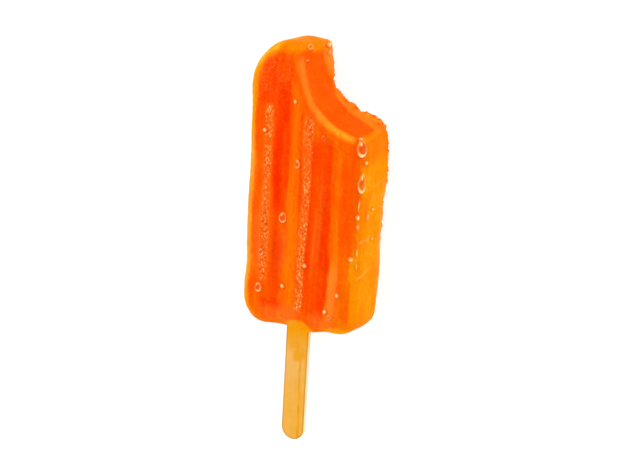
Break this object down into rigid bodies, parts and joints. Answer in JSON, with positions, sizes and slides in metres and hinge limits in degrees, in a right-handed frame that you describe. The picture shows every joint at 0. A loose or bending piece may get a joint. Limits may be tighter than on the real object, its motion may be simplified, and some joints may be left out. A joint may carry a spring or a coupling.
{
  "type": "ice lolly",
  "caption": "Bitten orange ice lolly on a flat birch stick, a slab with two flutes in each face, drops of melt water on it, lying on its back.",
  "frame": {"origin": "middle of the lolly's overall length and width, on the surface that its back lies on", "axes": "+Y along the stick towards the bitten tip, +X towards the bitten side, +Z out of the front face"},
  "size_m": [0.0482, 0.1534, 0.0267],
  "materials": {
    "frozen_juice": "wet, translucent frozen orange juice with light frost on its ribs",
    "birch": "sanded, uncoated, stained by juice near the ice"
  },
  "bodies": {
    "root": {"ice_body": "frozen_juice", "stick": "birch"}
  },
  "joints": []
}
